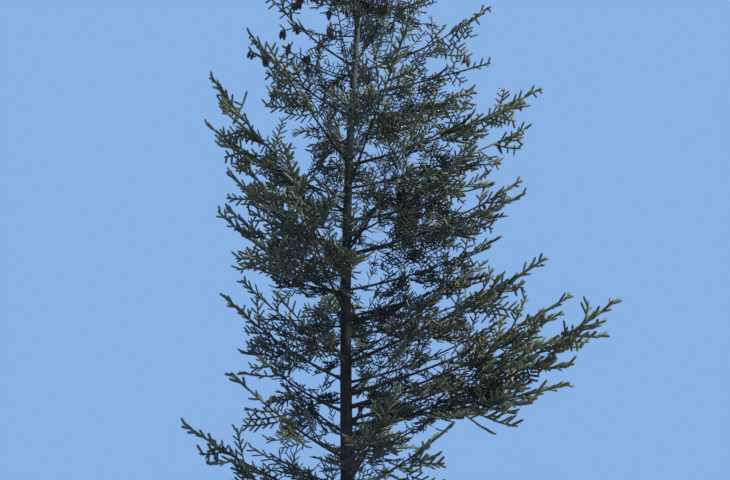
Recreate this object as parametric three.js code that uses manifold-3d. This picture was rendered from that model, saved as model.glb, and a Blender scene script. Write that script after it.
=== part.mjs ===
// A young spruce tree about 12.6 m tall: trunk, main boughs, and masses of needle-clad twigs.
// Millimetres, +Z up. The origin is the centre of the flat cut under the trunk, at ground level.

import * as THREE from "three";
import { mergeVertices } from "three/addons/utils/BufferGeometryUtils.js";
import Module from "manifold-3d";

const wasm = await Module();
wasm.setup();

// Trunk
const treeHeight = 12600;
const trunkTop = 12150;
const trunkFootRadius = 77;
const trunkTaper = 0.68;
const flareRadius = 40;
const flareHeight = 130;
const flareLobes = 5;
const flareLobeDepth = 0.4;
const trunkSides = 10;
const trunkRings = 24;
const ringCrowding = 1.5;
const swayDepth = 60;
const swayTop = 8600;
const leanStart = 5500;
const leanReach = 190;

// Boughs
const boughBaseRadius = 12;
const boughRadiusPerReach = 0.0045;
const boughTipRadius = 15;
const boughSides = 5;
const boughSegments = 4;
const bendAt = 0.5;
const bendRise = 0.3;
const sidewaysSway = 0.04;
const woodShare = 0.22;
const seatGap = 0.3;

// Foliage
const stemSegments = 3;
const stemRadius = 14.5;
const stemShareOfTrunk = 0.55;
const stemTaper = 0.68;
const stemReachShare = 0.9;
const topStemShareOfTrunk = 0.9;
const topStemReachShare = 0.6;
const topSpread = 420;
const stationSpacing = 235;
const firstStation = 0.45;
const leastStations = 4;
const stalkWidth = 14;
const stalkWidthShare = 0.1;
const rootDepth = 24;
const rootDepthShare = 0.06;
const leastThickness = 5;
const thicknessShare = 0.0105;
const sprayWidthShare = 0.7;
const sprayTeeth = 2;
const firstTooth = 0.6;
const toothStep = 0.2;
const toothShrink = 0.03;
const toothSweep = 0.17;
const notchShare = 0.15;
const shoulderShare = 0.07;
const shoulderHeight = 0.12;
const endSprayStart = 0.95;
const endWidthShare = 0.6;
const innerLength = 1.2;
const outerLength = 1.1;
const lengthSpread = 0.1;
const aboveShortening = 0.35;
const spraySizes = [1, 0.86, 0.73, 0.6, 0.48];
const tipTaper = 0.64;
const firstRow = 90;
const rowTurn = 120;
const innerAngle = 62;
const outerAngle = 44;
const angleSpread = 9;
const turnSpread = 25;
const rollSpread = 30;
const droop = 0.2;
const spaceMargin = 14;
const limbMargin = 12;
const groundMargin = 60;
const sampleStep = 60;
const pathSteps = 12;
const woodSteps = 6;

// Cones, which hang from the stems of the masses whose tips are this high
const coneLength = 135;
const coneRadius = 21;
const coneNeck = 4;
const coneSides = 5;
const coneProfile = [
  [0, -1],
  [0.6, -0.88],
  [1, -0.5],
];
const coneLowest = 7900;
const coneHighest = 11000;
const conePlaces = [0.42, 0.63, 0.84];

// Main boughs, lowest first: height on the trunk, azimuth in degrees (0 is to the right,
// -90 to the front), reach from the trunk's axis, rise to the tip, and side twig length.
const mainBoughs = [
  [1750, 180, 1850, 890, 780],
  [1900, -45, 1500, 600, 800],
  [2100, 75, 2300, 950, 1100],
  [2250, -140, 1500, 750, 800],
  [2470, 0, 3240, 1610, 980],
  [2750, 130, 2150, 1100, 1100],
  [2950, 10, 2870, 1330, 1050],
  [3100, 180, 1470, 1020, 900],
  [3300, -25, 2380, 920, 950],
  [3750, 95, 2400, 1200, 1150],
  [3900, -105, 2150, 1100, 1050],
  [4100, 190, 1580, 1000, 900],
  [4640, -12, 2200, 610, 1050],
  [4600, 155, 1750, 1890, 950],
  [5100, 35, 2600, 1450, 1100],
  [5200, 180, 1890, 2070, 900],
  [5500, -70, 2000, 1100, 1050],
  [5870, 0, 2590, 1180, 1100],
  [5900, -130, 1500, 1000, 900],
  [6300, 100, 2000, 1200, 1050],
  [6600, 172, 1520, 1560, 850],
  [6900, -15, 1850, 200, 900],
  [7300, 12, 2060, 1480, 850],
  [7400, 192, 1320, 1110, 800],
];

// Upper boughs, which are too slim for a limb of their own: their stems leave the trunk
const upperCount = 10;
const upperLowest = 7900;
const upperHighest = 11750;
const goldenAngle = 137.5;
const upperFirstAzimuth = -95;
const upperReachShare = 0.33;
const upperLeastReach = 60;
const upperRiseShare = 0.75;
const upperSpreadShare = 0.72;
const upperLeastSpread = 260;

const barkMaterial = new THREE.MeshStandardMaterial({
  color: "#4a423c",
  roughness: 0.95,
  metalness: 0,
});
const boughMaterial = new THREE.MeshStandardMaterial({
  color: "#5b4638",
  roughness: 0.9,
  metalness: 0,
});
const needleMaterial = new THREE.MeshStandardMaterial({
  color: "#3d4c38",
  roughness: 0.75,
  metalness: 0,
});

const up = new THREE.Vector3(0, 0, 1);
const nearlyUpright = 0.01;
const nearlyStraight = 1e-9;
const weldDistance = 1e-3;

// A number from 0 to 1 that depends only on its seeds
function chance(a, b, c) {
  const wave = Math.sin(a * 12.9898 + b * 78.233 + c * 37.719) * 43758.5453;
  return wave - Math.floor(wave);
}

function spreadOf(a, b, c) {
  return 2 * chance(a, b, c) - 1;
}

function smoothStep(from, to, value) {
  const t = THREE.MathUtils.clamp((value - from) / (to - from), 0, 1);
  return t * t * (3 - 2 * t);
}

function trunkAxis(z) {
  const sway = swayDepth * Math.sin((Math.PI * Math.min(z, swayTop)) / swayTop) ** 2;
  return new THREE.Vector3(leanReach * smoothStep(leanStart, trunkTop, z) - sway, 0, z);
}

function trunkRadius(z) {
  return trunkFootRadius * (1 - z / treeHeight) ** trunkTaper;
}

function trunkGeometry(extra) {
  const geometry = new THREE.CylinderGeometry(1, 1, 1, trunkSides, trunkRings);
  const position = geometry.attributes.position;
  for (let i = 0; i < position.count; i += 1) {
    const x = position.getX(i);
    const share = position.getY(i) + 0.5;
    const z = position.getZ(i);
    const height = trunkTop * share ** ringCrowding;
    const centre = trunkAxis(height);
    const lobes = 1 + flareLobeDepth * Math.cos(flareLobes * Math.atan2(z, x));
    const flare = flareRadius * Math.exp(-height / flareHeight) * lobes;
    const radius = trunkRadius(height) + flare + extra;
    position.setXYZ(i, centre.x + x * radius, centre.y - z * radius, height);
  }
  return geometry;
}

// The level direction across a line that runs along a tangent
function acrossOf(tangent) {
  const across = tangent.clone().cross(up);
  return across.lengthSq() < nearlyUpright ? new THREE.Vector3(1, 0, 0) : across.normalize();
}

// A rod along a curve, as thick at each share of its run as radiusAt says
function rodGeometry(curve, radiusAt, sides, segments) {
  const geometry = new THREE.CylinderGeometry(1, 1, 1, sides, segments);
  const position = geometry.attributes.position;
  for (let i = 0; i < position.count; i += 1) {
    const share = THREE.MathUtils.clamp(position.getY(i) + 0.5, 0, 1);
    const tangent = curve.getTangent(share);
    const across = acrossOf(tangent);
    const over = across.clone().cross(tangent);
    const radius = radiusAt(share);
    const point = curve.getPoint(share);
    point.addScaledVector(across, position.getX(i) * radius);
    point.addScaledVector(over, position.getZ(i) * radius);
    position.setXYZ(i, point.x, point.y, point.z);
  }
  return geometry;
}

// One edge of a spray: teeth that point forward, as shoots do; side is 1 or -1
function toothedEdge(length, width, side) {
  const stalk = Math.min(stalkWidth, stalkWidthShare * width);
  const depth = Math.min(rootDepth, rootDepthShare * length);
  const edge = [new THREE.Vector2((side * stalk) / 2, depth)];
  edge.push(new THREE.Vector2(side * width * shoulderShare, length * shoulderHeight));
  for (let k = side > 0 ? 0 : 1; k < sprayTeeth; k += 2) {
    const reach = width * (0.5 - toothShrink * k);
    const height = length * (firstTooth + toothStep * k);
    edge.push(new THREE.Vector2(side * reach, height));
    edge.push(new THREE.Vector2(side * width * notchShare, height - length * toothSweep));
  }
  return edge;
}

// A side twig with its needles: a bare stalk, then a toothed blade; hand is 1 or -1
function sprayGeometry(length, width, hand) {
  const root = new THREE.Vector2(0, 0);
  const tip = new THREE.Vector2(0, length);
  const back = toothedEdge(length, width, -hand).reverse();
  const shape = new THREE.Shape([root, ...toothedEdge(length, width, hand), tip, ...back]);
  const depth = Math.max(leastThickness, length * thicknessShare);
  const geometry = new THREE.ExtrudeGeometry(shape, { depth, bevelEnabled: false });
  return geometry.translate(0, 0, -depth / 2);
}

// Turns a piece that grows along +Y with its face to +Z towards a direction and a face normal
function aim(geometry, start, direction, normal) {
  const face = normal.clone().addScaledVector(direction, -normal.dot(direction)).normalize();
  const across = direction.clone().cross(face);
  const matrix = new THREE.Matrix4().makeBasis(across, direction, face).setPosition(start);
  return geometry.applyMatrix4(matrix);
}

function solidOf(geometry, origin) {
  const local = geometry.clone().translate(-origin.x, -origin.y, -origin.z);
  local.deleteAttribute("normal");
  local.deleteAttribute("uv");
  const merged = mergeVertices(local, weldDistance);
  const vertProperties = Float32Array.from(merged.attributes.position.array);
  const triVerts = Uint32Array.from(merged.index.array);
  return new wasm.Manifold(new wasm.Mesh({ numProp: 3, vertProperties, triVerts }));
}

function meshOf(name, solid, origin, material) {
  const result = solid.getMesh();
  const geometry = new THREE.BufferGeometry();
  const points = new THREE.BufferAttribute(Float32Array.from(result.vertProperties), 3);
  geometry.setAttribute("position", points);
  geometry.setIndex(new THREE.BufferAttribute(Uint32Array.from(result.triVerts), 1));
  geometry.computeVertexNormals();
  const mesh = new THREE.Mesh(geometry, material);
  mesh.name = name;
  mesh.position.copy(origin);
  return mesh;
}

// A limb's whole line, from the trunk's axis to its furthest tip
function limbLine(seed, [height, azimuth, reach, rise]) {
  const base = trunkAxis(height);
  const angle = THREE.MathUtils.degToRad(azimuth);
  const outward = new THREE.Vector3(Math.cos(angle), Math.sin(angle), 0);
  const sideways = new THREE.Vector3(-Math.sin(angle), Math.cos(angle), 0);
  const bend = base.clone().addScaledVector(outward, reach * bendAt);
  bend.addScaledVector(sideways, reach * sidewaysSway * spreadOf(seed, 1, 1));
  bend.z += rise * bendRise;
  const tip = base.clone().addScaledVector(outward, reach);
  tip.z += rise;
  return new THREE.QuadraticBezierCurve3(base, bend, tip);
}

// The part of a line between two shares of its run
function partOf(line, from, to) {
  const start = line.getPoint(from);
  const end = line.getPoint(to);
  const tangent = line.getTangent(from);
  const closing = line.getTangent(to);
  const chord = end.clone().sub(start);
  const normal = tangent.clone().cross(closing);
  if (normal.lengthSq() < nearlyStraight) {
    return new THREE.LineCurve3(start, end);
  }
  const run = chord.clone().cross(closing).dot(normal) / normal.lengthSq();
  return new THREE.QuadraticBezierCurve3(start, start.clone().addScaledVector(tangent, run), end);
}

function distanceToPath(point, path) {
  let nearest = Infinity;
  const segment = new THREE.Line3();
  const foot = new THREE.Vector3();
  for (let i = 0; i + 1 < path.length; i += 1) {
    segment.set(path[i], path[i + 1]);
    segment.closestPointToPoint(point, true, foot);
    nearest = Math.min(nearest, foot.distanceTo(point));
  }
  return nearest;
}

// Points along every edge of a piece, close enough to test where it lies
function samplesOf(geometry) {
  const source = geometry.index ? geometry.toNonIndexed() : geometry;
  const position = source.attributes.position;
  const samples = [];
  for (let i = 0; i < position.count; i += 3) {
    for (let j = 0; j < 3; j += 1) {
      const a = new THREE.Vector3().fromBufferAttribute(position, i + j);
      const b = new THREE.Vector3().fromBufferAttribute(position, i + ((j + 1) % 3));
      const steps = Math.ceil(a.distanceTo(b) / sampleStep);
      for (let k = 0; k < steps; k += 1) {
        samples.push(a.clone().lerp(b, k / steps));
      }
    }
  }
  return samples;
}

// True where a piece keeps to its own mass's space and clear of trunk, limb and ground
function fits(samples, own, limbs) {
  return samples.every((point) => {
    if (point.z < groundMargin) {
      return false;
    }
    const axis = trunkAxis(point.z);
    const fromTrunk = Math.hypot(point.x - axis.x, point.y - axis.y);
    if (point.z < trunkTop && fromTrunk < trunkRadius(point.z) + 2 * limbMargin) {
      return false;
    }
    if (own.wood && distanceToPath(point, own.wood) < own.woodRadius + limbMargin) {
      return false;
    }
    const home = distanceToPath(point, own.path);
    return limbs.every((other) => {
      if (other === own) {
        return true;
      }
      return distanceToPath(point, other.path) - home > 2 * spaceMargin;
    });
  });
}

// A closed cone that hangs straight down, its neck inside the stem
function coneGeometry(hang) {
  const profile = coneProfile.map(([x, y]) => new THREE.Vector2(x * coneRadius, y * coneLength));
  profile.push(new THREE.Vector2(coneNeck, 0), new THREE.Vector2(0, coneNeck));
  const geometry = new THREE.LatheGeometry(profile, coneSides).rotateX(Math.PI / 2);
  return geometry.translate(hang.x, hang.y, hang.z);
}

function conesOn(limb, curve) {
  const height = limb.line.getPoint(1).z;
  if (height < coneLowest || height > coneHighest) {
    return [];
  }
  const count = limb.hasWood ? conePlaces.length : 1;
  const cones = conePlaces.slice(-count).map((share) => coneGeometry(curve.getPoint(share)));
  return cones.filter((cone) => fits(samplesOf(cone), limb, limbs));
}

const limbs = [];
mainBoughs.forEach((row, index) => {
  const number = String(index + 1).padStart(2, "0");
  limbs.push({ name: number, seed: index + 1, row, spread: row[4], hasWood: true });
});
for (let i = 0; i < upperCount; i += 1) {
  const height = THREE.MathUtils.lerp(upperLowest, upperHighest, i / (upperCount - 1));
  const reach = (treeHeight - height) * upperReachShare + upperLeastReach;
  const azimuth = upperFirstAzimuth + goldenAngle * i;
  const row = [height, azimuth, reach, reach * upperRiseShare];
  const name = String(mainBoughs.length + i + 1);
  const spread = reach * upperSpreadShare + upperLeastSpread;
  limbs.push({ name, seed: mainBoughs.length + i + 1, row, spread, hasWood: false });
}
limbs.push({ name: "top", seed: 99, isTop: true, spread: topSpread, hasWood: false });

for (const limb of limbs) {
  if (limb.isTop) {
    const foot = trunkAxis(trunkTop);
    limb.line = new THREE.LineCurve3(foot, new THREE.Vector3(foot.x, foot.y, treeHeight));
  } else {
    limb.line = limbLine(limb.seed, limb.row);
  }
  limb.path = limb.line.getPoints(pathSteps);
  const carrier = limb.isTop ? trunkTop : limb.row[0];
  const slim = limb.isTop ? topStemShareOfTrunk : stemShareOfTrunk;
  limb.stemRadius = Math.min(stemRadius, trunkRadius(carrier) * slim);
  limb.stemEndRadius = limb.stemRadius * stemTaper;
  if (limb.hasWood) {
    limb.woodRadius = boughBaseRadius + limb.row[2] * boughRadiusPerReach;
    limb.wood = partOf(limb.line, 0, woodShare).getPoints(woodSteps);
  }
}

const tree = new THREE.Group();
const trunk = solidOf(trunkGeometry(0), new THREE.Vector3());
const trunkSeat = solidOf(trunkGeometry(seatGap), new THREE.Vector3());
tree.add(meshOf("trunk", trunk, new THREE.Vector3(), barkMaterial));

// Cuts the end that runs into the trunk, so that the piece is seated on the bark
function seatedOnTrunk(solid, origin) {
  return solid.subtract(trunkSeat.translate([-origin.x, -origin.y, -origin.z]));
}

function boughMesh(limb) {
  const curve = partOf(limb.line, 0, woodShare);
  const radiusAt = (share) => THREE.MathUtils.lerp(limb.woodRadius, boughTipRadius, share);
  const origin = limb.line.getPoint(0);
  const rod = solidOf(rodGeometry(curve, radiusAt, boughSides, boughSegments), origin);
  return meshOf(`bough_${limb.name}`, seatedOnTrunk(rod, origin), origin, boughMaterial);
}

// The spray at one station of the stem. The stations take turns above, below to the left and
// below to the right. Where the full size doesn't fit the mass's own space, a smaller one may.
function sprayAt(limb, curve, share, station) {
  const place = curve.getPoint(share);
  const along = curve.getTangent(share);
  const side = acrossOf(along);
  const row = firstRow + rowTurn * station + turnSpread * spreadOf(limb.seed, station, 1);
  const turn = THREE.MathUtils.degToRad(row);
  const outward = side.clone().multiplyScalar(Math.cos(turn));
  outward.addScaledVector(side.clone().cross(along), Math.sin(turn));
  const middle = THREE.MathUtils.lerp(innerAngle, outerAngle, share);
  const angle = middle + angleSpread * spreadOf(limb.seed, station, 2);
  const open = THREE.MathUtils.degToRad(angle);
  const direction = along.clone().multiplyScalar(Math.cos(open));
  direction.addScaledVector(outward, Math.sin(open)).addScaledVector(up, -droop).normalize();
  const face = along.clone().cross(outward);
  const roll = rollSpread * spreadOf(limb.seed, station, 4);
  face.cross(direction).cross(direction).applyAxisAngle(direction, THREE.MathUtils.degToRad(roll));
  const longest = limb.spread * THREE.MathUtils.lerp(innerLength, outerLength, share);
  const varied = 1 + lengthSpread * spreadOf(limb.seed, station, 5);
  const upright = 1 - aboveShortening * Math.max(0, outward.z);
  const wanted = longest * (1 - tipTaper * share ** 2) * varied * upright;
  const hand = station % 3 === 0 ? -1 : 1;
  for (const size of spraySizes) {
    const length = wanted * size;
    const blade = sprayGeometry(length, length * sprayWidthShare, hand);
    const spray = aim(blade, place, direction, face);
    if (fits(samplesOf(spray), limb, limbs)) {
      return [spray];
    }
  }
  return [];
}

function massMesh(limb) {
  const from = limb.hasWood ? woodShare : 0;
  const curve = partOf(limb.line, from, limb.isTop ? topStemReachShare : stemReachShare);
  const origin = curve.getPoint(0);
  const gap = curve.getTangent(0).multiplyScalar(limb.hasWood || limb.isTop ? seatGap : 0);
  const radiusAt = (share) => THREE.MathUtils.lerp(limb.stemRadius, limb.stemEndRadius, share);
  const stem = rodGeometry(curve, radiusAt, 3, stemSegments).translate(gap.x, gap.y, gap.z);
  const pieces = [stem];
  const count = Math.max(leastStations, Math.round(curve.getLength() / stationSpacing));
  for (let i = 0; i < count; i += 1) {
    pieces.push(...sprayAt(limb, curve, (i + firstStation) / count, i));
  }
  pieces.push(...conesOn(limb, curve));
  const end = curve.getPoint(endSprayStart);
  const direction = limb.line.getPoint(1).sub(end);
  const length = direction.length();
  direction.normalize();
  const face = limb.isTop ? new THREE.Vector3(0, 1, 0) : up;
  pieces.push(aim(sprayGeometry(length, length * endWidthShare, 1), end, direction, face));
  let solid = solidOf(pieces[0], origin);
  for (const piece of pieces.slice(1)) {
    solid = solid.add(solidOf(piece, origin));
  }
  if (!limb.hasWood && !limb.isTop) {
    solid = seatedOnTrunk(solid, origin);
  }
  const bodies = solid.decompose().sort((a, b) => b.volume() - a.volume());
  return meshOf(`foliage_${limb.name}`, bodies[0], origin, needleMaterial);
}

for (const limb of limbs) {
  if (limb.hasWood) {
    tree.add(boughMesh(limb));
  }
}
for (const limb of limbs) {
  tree.add(massMesh(limb));
}

export default tree;
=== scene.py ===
# A young spruce about 12.6 m tall. Metres, +Z up, origin in the flat cut at the foot of the trunk.
import math

import bmesh
import bpy
import numpy as np
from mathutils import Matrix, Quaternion, Vector, noise


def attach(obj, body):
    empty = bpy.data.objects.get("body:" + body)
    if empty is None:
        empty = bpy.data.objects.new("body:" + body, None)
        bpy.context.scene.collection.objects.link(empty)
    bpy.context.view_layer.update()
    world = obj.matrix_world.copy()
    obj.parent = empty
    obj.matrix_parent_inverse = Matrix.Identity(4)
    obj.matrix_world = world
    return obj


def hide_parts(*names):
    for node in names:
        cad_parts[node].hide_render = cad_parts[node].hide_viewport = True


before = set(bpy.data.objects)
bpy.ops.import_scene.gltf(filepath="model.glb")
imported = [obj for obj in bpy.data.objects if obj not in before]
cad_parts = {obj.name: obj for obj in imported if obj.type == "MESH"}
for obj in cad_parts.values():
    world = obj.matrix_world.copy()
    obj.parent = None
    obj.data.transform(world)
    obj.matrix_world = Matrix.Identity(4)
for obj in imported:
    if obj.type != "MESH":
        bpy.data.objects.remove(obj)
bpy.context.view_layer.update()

up = Vector((0, 0, 1))

# Camera: eye height, 8 m in front of the trunk, looking up as the photograph does
view = {"place": (0.168, -8.0, 1.6), "pitch": 22, "focalPixels": 700, "imageWidth": 730, "imageHeight": 480,
        "sensor": 36}


def addObject(name, data):
    added = bpy.data.objects.new(name, data)
    bpy.context.collection.objects.link(added)
    return added


def makeCamera():
    data = bpy.data.cameras.new("camera")
    data.sensor_width = view["sensor"]
    data.lens = view["sensor"] * view["focalPixels"] / view["imageWidth"]
    data.clip_end = 500
    camera = addObject("camera", data)
    camera.location = view["place"]
    camera.rotation_euler = (math.radians(90 + view["pitch"]), 0, 0)
    bpy.context.scene.camera = camera


# Studio: a soft key from the right above, a weak fill from the left in front, and a plain blue surround.
# Each sun has its colour, strength, softness in degrees, and turn.
suns = {"key": ("#fff4e2", 8.6, 4, (42, 0, 78)), "fill": ("#e4edf7", 0.5, 30, (50, 0, -25))}
studio = {"surround": "#91bcf2", "surroundStrength": 0.88, "floorColour": "#85878b",
          "floorMottle": "#8f9195", "floorSize": 160}


# sRGB hex to the linear colour that the shaders take
def linear(hexColour):
    channels = [int(hexColour[i:i + 2], 16) / 255 for i in (1, 3, 5)]
    return (*[c / 12.92 if c <= 0.04045 else ((c + 0.055) / 1.055) ** 2.4 for c in channels], 1)


# Adds a node; a number or colour sets a socket and a socket is linked to it
def addNode(tree, kind, inputs=None, **settings):
    node = tree.nodes.new(kind)
    for name, value in settings.items():
        setattr(node, name, value)
    for name, value in (inputs or {}).items():
        if isinstance(value, bpy.types.NodeSocket):
            tree.links.new(value, node.inputs[name])
        else:
            node.inputs[name].default_value = value
    return node


# A new material, its node tree, its shader and the place in the object's own frame
def newMaterial(name, roughness, ior=1.45):
    material = bpy.data.materials.new(name)
    material.use_nodes = True
    tree = material.node_tree
    shader = tree.nodes["Principled BSDF"]
    shader.inputs["Roughness"].default_value = roughness
    shader.inputs["IOR"].default_value = ior
    return material, tree, shader, addNode(tree, "ShaderNodeTexCoord").outputs["Object"]


# The value of a noise texture, its scale in features to the metre
def noiseValue(tree, place, scale, detail):
    inputs = {"Vector": place, "Scale": scale, "Detail": detail}
    return addNode(tree, "ShaderNodeTexNoise", inputs).outputs["Fac"]


# How far a point is from the edges of cells, their scale in cells to the metre
def cellEdge(tree, place, scale):
    inputs = {"Vector": place, "Scale": scale}
    return addNode(tree, "ShaderNodeTexVoronoi", inputs, feature="DISTANCE_TO_EDGE").outputs["Distance"]


def mapValue(tree, value, limits):
    return addNode(tree, "ShaderNodeMapRange", {"Value": value, **limits}).outputs["Result"]


# Mixes two colours, each a hex string or another node's socket
def mixColours(tree, factor, low, high):
    inputs = {"Factor": factor}
    for name, colour in (("A", low), ("B", high)):
        inputs[name] = linear(colour) if isinstance(colour, str) else colour
    return addNode(tree, "ShaderNodeMix", inputs, data_type="RGBA").outputs["Result"]


def addBump(tree, shader, height, strength, distance):
    inputs = {"Height": height, "Strength": strength, "Distance": distance}
    tree.links.new(addNode(tree, "ShaderNodeBump", inputs).outputs["Normal"], shader.inputs["Normal"])


def addSun(name, colour, strength, softness, turn):
    data = bpy.data.lights.new(name, "SUN")
    data.color = linear(colour)[:3]
    data.energy = strength
    data.angle = math.radians(softness)
    addObject(name, data).rotation_euler = [math.radians(angle) for angle in turn]


# Matte studio paper: one pale tone with a faint mottle, 0.4 m across
def paperMaterial():
    material, tree, shader, place = newMaterial("studioPaper", 0.9)
    mottle = noiseValue(tree, place, 2.5, 2)
    tone = mixColours(tree, mottle, studio["floorColour"], studio["floorMottle"])
    tree.links.new(tone, shader.inputs["Base Color"])
    return material


def makeStudio():
    for name, (colour, strength, softness, turn) in suns.items():
        addSun(name, colour, strength, softness, turn)
    world = bpy.data.worlds.new("surround")
    world.use_nodes = True
    background = world.node_tree.nodes["Background"]
    background.inputs["Color"].default_value = linear(studio["surround"])
    background.inputs["Strength"].default_value = studio["surroundStrength"]
    bpy.context.scene.world = world
    bm = bmesh.new()
    bmesh.ops.create_grid(bm, x_segments=8, y_segments=8, size=studio["floorSize"] / 2)
    floor = finishMesh("floor", bm, [paperMaterial()])


# A bmesh becomes an object at the origin
def finishMesh(name, bm, materials):
    mesh = bpy.data.meshes.new(name)
    bm.to_mesh(mesh)
    bm.free()
    for material in materials:
        mesh.materials.append(material)
    mesh.polygons.foreach_set("use_smooth", [True] * len(mesh.polygons))
    return addObject(name, mesh)


# Arrays of corners, triangles and material numbers become an object at the origin
def joinMesh(name, corners, triangles, tones, materials):
    mesh = bpy.data.meshes.new(name)
    mesh.vertices.add(len(corners))
    mesh.vertices.foreach_set("co", corners.astype(np.float32).ravel())
    mesh.loops.add(triangles.size)
    mesh.loops.foreach_set("vertex_index", triangles.astype(np.int32).ravel())
    mesh.polygons.add(len(triangles))
    mesh.polygons.foreach_set("loop_start", np.arange(0, triangles.size, 3, dtype=np.int32))
    for material in materials:
        mesh.materials.append(material)
    mesh.polygons.foreach_set("material_index", tones.astype(np.int32))
    mesh.polygons.foreach_set("use_smooth", np.ones(len(triangles), dtype=bool))
    mesh.update(calc_edges=True)
    return addObject(name, mesh)


# Cuts the edges that rise by more than the least height into equal parts
def cutUpright(bm, least, cuts):
    upright = [edge for edge in bm.edges if abs(edge.verts[0].co.z - edge.verts[1].co.z) > least]
    bmesh.ops.subdivide_edges(bm, edges=upright, cuts=cuts)


# A unit tube about the origin, its length cut into parts
def unitTube(sides, cuts, capTriangles=True):
    bm = bmesh.new()
    bmesh.ops.create_cone(bm, cap_ends=True, cap_tris=capTriangles, segments=sides, radius1=1, radius2=1,
                          depth=1)
    cutUpright(bm, 0.5, cuts)
    return bm


# A small bmesh as arrays of corners, triangles and the material number of each triangle
def arraysOf(bm):
    bmesh.ops.triangulate(bm, faces=bm.faces)
    bm.verts.index_update()
    corners = np.array([v.co[:] for v in bm.verts])
    triangles = np.array([[v.index for v in face.verts] for face in bm.faces])
    tones = np.array([face.material_index for face in bm.faces])
    bm.free()
    return corners, triangles, tones


# A number from 0 to 1 that depends only on its seeds
def chance(a, b, c):
    wave = math.sin(a * 12.9898 + b * 78.233 + c * 37.719) * 43758.5453
    return wave - math.floor(wave)


def spreadOf(a, b, c):
    return 2 * chance(a, b, c) - 1


def lerp(a, b, t):
    return a + (b - a) * t


def smoothStep(low, high, value):
    t = min(1, max(0, (value - low) / (high - low)))
    return t * t * (3 - 2 * t)


# Trunk: its line and girth are the frame's, its bark is plates of about 25 by 40 mm
trunk = {"treeHeight": 12.6, "top": 12.15, "footRadius": 0.077, "taper": 0.68, "sway": 0.06, "swayTop": 8.6,
         "leanStart": 5.5, "leanReach": 0.19, "flareRadius": 0.04, "flareHeight": 0.13, "flareLobes": 5,
         "flareLobeDepth": 0.4, "sides": 44, "rings": 620, "plateWidth": 0.026, "plateHeight": 0.042,
         "plateShift": 0.35, "plateTurnover": 20, "furrowWidth": 0.28, "furrowMean": 0.3, "roughShare": 0.35,
         "roughScale": 2.3, "relief": 0.0038, "fullReliefRadius": 0.05, "collar": 0.007, "collarReach": 0.045,
         "collarSpan": 3}


def trunkAxis(z):
    sway = trunk["sway"] * math.sin(math.pi * min(z, trunk["swayTop"]) / trunk["swayTop"]) ** 2
    return Vector((trunk["leanReach"] * smoothStep(trunk["leanStart"], trunk["top"], z) - sway, 0, z))


def trunkRadius(z):
    return trunk["footRadius"] * max(0, 1 - z / trunk["treeHeight"]) ** trunk["taper"]


# Height of the bark above its mean: raised plates with narrow furrows between them
def plateRelief(angle, height, radius):
    around = angle * radius / trunk["plateWidth"]
    along = height / trunk["plateHeight"] + trunk["plateShift"] * math.sin(3 * angle)
    place = Vector((around, along, radius * trunk["plateTurnover"]))
    near = noise.voronoi(place)[0]
    furrow = smoothStep(0, trunk["furrowWidth"], near[1] - near[0])
    rough = trunk["roughShare"] * noise.noise(place * trunk["roughScale"])
    return trunk["relief"] * (furrow - trunk["furrowMean"] + rough)


# Main boughs, lowest first: height on the trunk, azimuth, reach, rise and length of the side twigs
mainBoughs = [
    (1.75, 180, 1.85, 0.89, 0.78), (1.90, -45, 1.50, 0.60, 0.80), (2.10, 75, 2.30, 0.95, 1.10),
    (2.25, -140, 1.50, 0.75, 0.80), (2.47, 0, 3.24, 1.61, 0.98), (2.75, 130, 2.15, 1.10, 1.10),
    (2.95, 10, 2.87, 1.33, 1.05), (3.10, 180, 1.47, 1.02, 0.90), (3.30, -25, 2.38, 0.92, 0.95),
    (3.75, 95, 2.40, 1.20, 1.15), (3.90, -105, 2.15, 1.10, 1.05), (4.10, 190, 1.58, 1.00, 0.90),
    (4.64, -12, 2.20, 0.61, 1.05), (4.60, 155, 1.75, 1.89, 0.95), (5.10, 35, 2.60, 1.45, 1.10),
    (5.20, 180, 1.89, 2.07, 0.90), (5.50, -70, 2.00, 1.10, 1.05), (5.87, 0, 2.59, 1.18, 1.10),
    (5.90, -130, 1.50, 1.00, 0.90), (6.30, 100, 2.00, 1.20, 1.05), (6.60, 172, 1.52, 1.56, 0.85),
    (6.90, -15, 1.85, 0.20, 0.90), (7.30, 12, 2.06, 1.48, 0.85), (7.40, 192, 1.32, 1.11, 0.80),
]

# The line of every bough, and the ten slim ones above the main boughs
boughs = {"bendAt": 0.5, "bendRise": 0.3, "sidewaysSway": 0.04, "woodShare": 0.22, "stemReach": 0.9,
          "upperCount": 10, "upperLowest": 7.9, "upperHighest": 11.75, "goldenAngle": 137.5,
          "upperFirstAzimuth": -95, "upperReachShare": 0.33, "upperLeastReach": 0.06, "upperRise": 0.75,
          "upperSpreadShare": 0.72, "upperLeastSpread": 0.26, "topSpread": 0.42, "topStemReach": 0.6,
          "topSeed": 99}

# How far the crown reaches around a place, from the main boughs near it in azimuth and height
crown = {"turn": 45, "above": 0.9, "below": 0.35, "upperSwell": 1.15, "upperFrom": 7.2, "upperTo": 8.4,
         "innerShare": 0.25, "leastReach": 0.3, "riseShare": 0.5}

# Shorter boughs that fill the crown between the main ones; every third one is shorter still
fillBoughs = {"count": 80, "lowest": 1.72, "highest": 11.9, "heightSpread": 0.05, "firstAzimuth": 20,
              "reachShare": 0.76, "shortShare": 0.5, "reachSpread": 0.15, "rise": 0.5, "riseSpread": 0.22,
              "riseWithHeight": 0.25, "spread": 0.25, "spreadPerReach": 0.3, "bareShare": 0.08,
              "thinFrom": 7.3, "thinTo": 8.9, "thinSideways": 0.7, "firstSeed": 200, "sideSeed": 400}

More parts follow.
